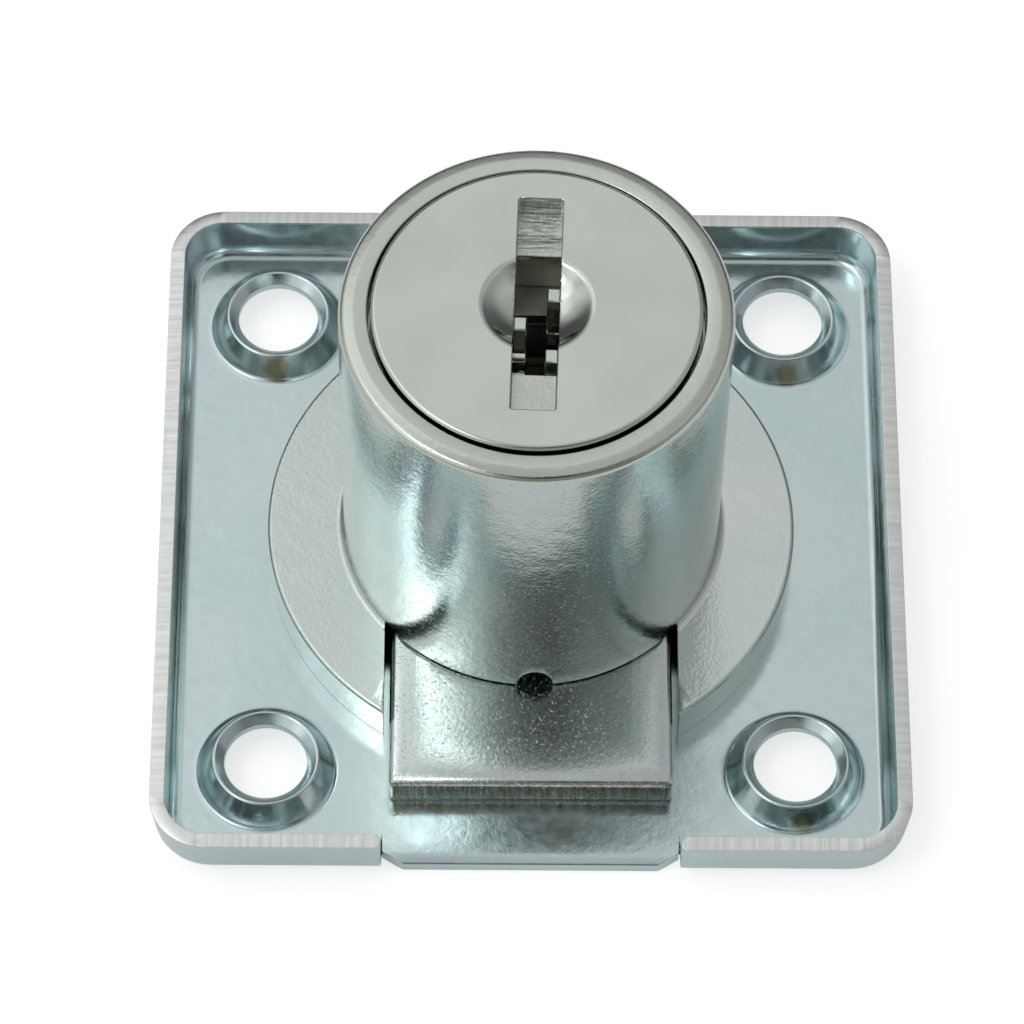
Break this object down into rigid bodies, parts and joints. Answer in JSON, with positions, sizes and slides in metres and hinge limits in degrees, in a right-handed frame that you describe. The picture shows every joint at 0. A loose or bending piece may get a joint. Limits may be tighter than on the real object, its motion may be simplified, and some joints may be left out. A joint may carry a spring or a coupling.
{
  "type": "drawer lock",
  "caption": "Surface-mounted drawer lock: square pressed plate with a raised rim, round cast barrel with a wafer plug, and a flat bolt that slides out sideways when the plug turns.",
  "frame": {"origin": "centre of the mounting plate's back face, on the barrel's axis", "axes": "+Z along the barrel towards the key; -Y the way the bolt leaves; X across"},
  "size_m": [0.04, 0.04, 0.0243],
  "materials": {
    "zinc_plated_sheet": "bright zinc plate, slightly blue, with a fine orange peel",
    "zinc_casting": "die cast, bright plated barrel with fine grain, satin flange and lip",
    "nickel_plug": "satin nickel face with tiny specks, grainy cast keyway",
    "zinc_plated_bolt": "bright zinc plate, sheared front edge",
    "wafer_brass": "dull brown-grey brass",
    "spring_steel": "plain spring steel"
  },
  "bodies": {
    "case": {"mounting_plate": "zinc_plated_sheet", "lock_housing": "zinc_casting"},
    "core": {"plug": "nickel_plug", "retaining_clip": "spring_steel", "wafer_spring_1": "spring_steel", "wafer_spring_2": "spring_steel", "wafer_spring_3": "spring_steel", "wafer_spring_4": "spring_steel", "wafer_spring_5": "spring_steel", "wafer_spring_6": "spring_steel", "wafer_spring_7": "spring_steel", "wafer_spring_8": "spring_steel"},
    "bolt_body": {"bolt": "zinc_plated_bolt"},
    "wafer_body_1": {"wafer_1": "wafer_brass"},
    "wafer_body_2": {"wafer_2": "wafer_brass"},
    "wafer_body_3": {"wafer_3": "wafer_brass"},
    "wafer_body_4": {"wafer_4": "wafer_brass"},
    "wafer_body_5": {"wafer_5": "wafer_brass"},
    "wafer_body_6": {"wafer_6": "wafer_brass"},
    "wafer_body_7": {"wafer_7": "wafer_brass"},
    "wafer_body_8": {"wafer_8": "wafer_brass"}
  },
  "joints": [
    {"name": "plug_turn", "type": "hinge", "parent": "case", "child": "core", "pos_m": [0, 0, 0.012], "axis": [0, 0, -1], "range_deg": [0, 180]},
    {"name": "bolt_slide", "type": "slide", "parent": "case", "child": "bolt_body", "axis": [0, -1, 0], "range_m": [0, 0.009]},
    {"name": "wafer_1_slide", "type": "slide", "parent": "core", "child": "wafer_body_1", "axis": [0, -1, 0], "range_m": [0, 0.0009], "stiffness_N_per_m": 200, "springref_m": 0.0035, "deforming": ["wafer_spring_1"]},
    {"name": "wafer_2_slide", "type": "slide", "parent": "core", "child": "wafer_body_2", "axis": [0, 1, 0], "range_m": [0, 0.0009], "stiffness_N_per_m": 200, "springref_m": 0.0035, "deforming": ["wafer_spring_2"]},
    {"name": "wafer_3_slide", "type": "slide", "parent": "core", "child": "wafer_body_3", "axis": [0, -1, 0], "range_m": [0, 0.0009], "stiffness_N_per_m": 200, "springref_m": 0.0035, "deforming": ["wafer_spring_3"]},
    {"name": "wafer_4_slide", "type": "slide", "parent": "core", "child": "wafer_body_4", "axis": [0, 1, 0], "range_m": [0, 0.0009], "stiffness_N_per_m": 200, "springref_m": 0.0035, "deforming": ["wafer_spring_4"]},
    {"name": "wafer_5_slide", "type": "slide", "parent": "core", "child": "wafer_body_5", "axis": [0, -1, 0], "range_m": [0, 0.0009], "stiffness_N_per_m": 200, "springref_m": 0.0035, "deforming": ["wafer_spring_5"]},
    {"name": "wafer_6_slide", "type": "slide", "parent": "core", "child": "wafer_body_6", "axis": [0, 1, 0], "range_m": [0, 0.0009], "stiffness_N_per_m": 200, "springref_m": 0.0035, "deforming": ["wafer_spring_6"]},
    {"name": "wafer_7_slide", "type": "slide", "parent": "core", "child": "wafer_body_7", "axis": [0, -1, 0], "range_m": [0, 0.0009], "stiffness_N_per_m": 200, "springref_m": 0.0035, "deforming": ["wafer_spring_7"]},
    {"name": "wafer_8_slide", "type": "slide", "parent": "core", "child": "wafer_body_8", "axis": [0, 1, 0], "range_m": [0, 0.0009], "stiffness_N_per_m": 200, "springref_m": 0.0035, "deforming": ["wafer_spring_8"]}
  ],
  "couplings": [
    {"joint": "bolt_slide", "follows": "plug_turn", "m_per_rad": 0.0028648}
  ]
}
